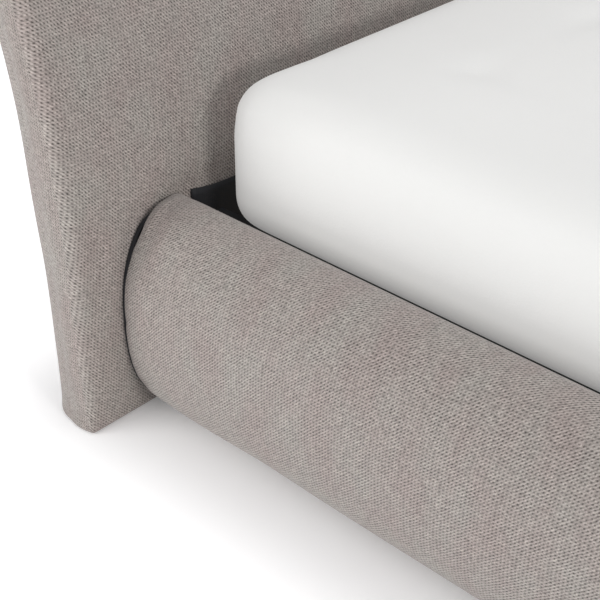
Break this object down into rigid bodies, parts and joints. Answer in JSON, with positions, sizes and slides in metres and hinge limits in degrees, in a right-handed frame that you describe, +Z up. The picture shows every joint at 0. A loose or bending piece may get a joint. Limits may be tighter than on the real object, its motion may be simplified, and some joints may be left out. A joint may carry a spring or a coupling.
{
  "type": "sleigh bed",
  "caption": "Fully upholstered sleigh bed: tall rolled headboard, low rolled footboard, padded oval side rails down to the floor, slatted base and mattress.",
  "frame": {"origin": "on the floor, at the centre of the bed's footprint", "axes": "+Z up, +Y to the headboard along the bed, +X across it to the right when looking at the headboard"},
  "size_m": [1.994, 2.5553, 1.0963],
  "materials": {
    "woven_upholstery": "matte",
    "black_lining": "matte",
    "mattress_ticking": "matte",
    "plywood": "matte",
    "softwood": "matte",
    "zinc_plated_steel": "satin",
    "black_nylon": "matte"
  },
  "bodies": {
    "bed_frame": {"headboard_cover": "woven_upholstery", "footboard_cover": "woven_upholstery", "side_rail_cover_left": "woven_upholstery", "side_rail_cover_right": "woven_upholstery", "headboard_lining": "black_lining", "headboard_front_panel": "plywood", "headboard_back_panel": "plywood", "headboard_gable_left": "plywood", "headboard_gable_right": "plywood", "footboard_inner_panel": "plywood", "footboard_outer_panel": "plywood", "footboard_gable_left": "plywood", "footboard_gable_right": "plywood", "side_rail_board_left": "plywood", "side_rail_board_right": "plywood", "headboard_bottom_rail": "softwood", "headboard_bolt_rail": "softwood", "headboard_middle_rail": "softwood", "headboard_top_rail": "softwood", "footboard_bottom_rail": "softwood", "footboard_bolt_rail": "softwood", "footboard_top_rail": "softwood", "slat_ledge_left": "softwood", "slat_ledge_right": "softwood", "centre_beam": "softwood", "centre_leg_head": "softwood", "centre_leg_foot": "softwood", "slat_01": "softwood", "slat_02": "softwood", "slat_03": "softwood", "slat_04": "softwood", "slat_05": "softwood", "slat_06": "softwood", "slat_07": "softwood", "slat_08": "softwood", "slat_09": "softwood", "slat_10": "softwood", "slat_11": "softwood", "slat_12": "softwood", "beam_hanger_head": "zinc_plated_steel", "beam_hanger_foot": "zinc_plated_steel", "corner_plate_head_left": "zinc_plated_steel", "corner_plate_head_right": "zinc_plated_steel", "corner_plate_foot_left": "zinc_plated_steel", "corner_plate_foot_right": "zinc_plated_steel", "bolt_head_left_lower": "zinc_plated_steel", "bolt_head_left_upper": "zinc_plated_steel", "bolt_head_right_lower": "zinc_plated_steel", "bolt_head_right_upper": "zinc_plated_steel", "bolt_foot_left_lower": "zinc_plated_steel", "bolt_foot_left_upper": "zinc_plated_steel", "bolt_foot_right_lower": "zinc_plated_steel", "bolt_foot_right_upper": "zinc_plated_steel", "glide_head_left": "black_nylon", "glide_head_right": "black_nylon", "glide_foot_left": "black_nylon", "glide_foot_right": "black_nylon"},
    "mattress": {"mattress": "mattress_ticking"},
    "levelling_foot_head": {"levelling_foot_head": "black_nylon"},
    "levelling_foot_foot": {"levelling_foot_foot": "black_nylon"}
  },
  "joints": [
    {"name": "mattress_lift", "type": "slide", "parent": "bed_frame", "child": "mattress", "axis": [0, 0, 1], "range_m": [0, 0.35]},
    {"name": "levelling_screw_head", "type": "slide", "parent": "bed_frame", "child": "levelling_foot_head", "axis": [0, 0, -1], "range_m": [-0.012, 0.015]},
    {"name": "levelling_screw_foot", "type": "slide", "parent": "bed_frame", "child": "levelling_foot_foot", "axis": [0, 0, -1], "range_m": [-0.012, 0.015]}
  ]
}
